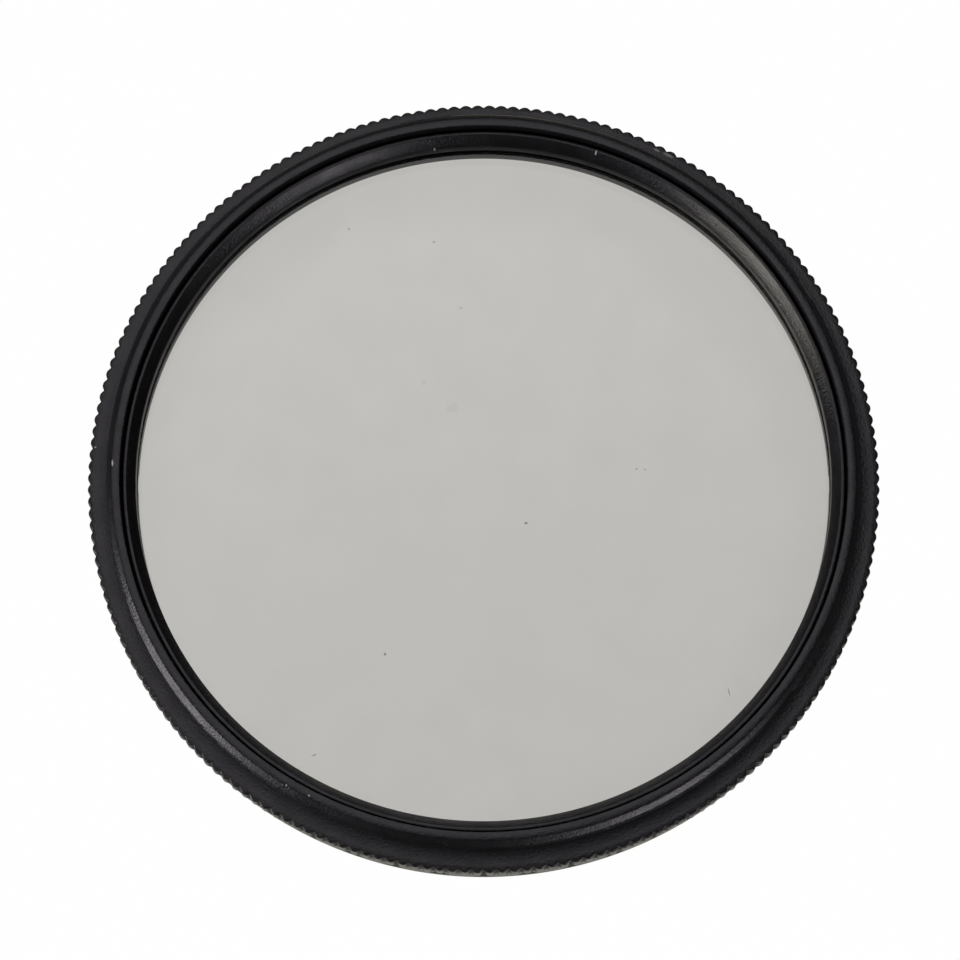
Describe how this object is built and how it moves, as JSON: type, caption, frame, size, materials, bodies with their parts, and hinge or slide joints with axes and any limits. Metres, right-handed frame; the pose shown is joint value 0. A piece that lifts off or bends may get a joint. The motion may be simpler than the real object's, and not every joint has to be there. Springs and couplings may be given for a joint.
{
  "type": "screw-in lens filter",
  "caption": "Round screw-in polarising lens filter: a knurled threaded mount ring, a front ring that turns in it, and a grey laminated glass disc held by a retaining ring.",
  "frame": {"origin": "centre of the front rim, on the surface that the filter lies on", "axes": "+Z along the optical axis from the front rim towards the lens thread"},
  "size_m": [0.055, 0.055, 0.0074],
  "materials": {
    "black_anodised_aluminium": "black anodised, satin",
    "spring_steel": "bright drawn",
    "optical_glass": "polished, coated",
    "retarder_film": "clear film",
    "polariser_film": "neutral grey film"
  },
  "bodies": {
    "mount": {"mount_ring": "black_anodised_aluminium", "snap_ring": "spring_steel"},
    "rotor": {"front_ring": "black_anodised_aluminium", "rear_glass": "optical_glass", "retarder_film": "retarder_film", "polariser_film": "polariser_film", "front_glass": "optical_glass", "retaining_ring": "black_anodised_aluminium"}
  },
  "joints": [
    {"name": "front_ring_turn", "type": "hinge", "parent": "mount", "child": "rotor", "pos_m": [0, 0, 0.00365], "axis": [0, 0, 1], "continuous": true}
  ]
}
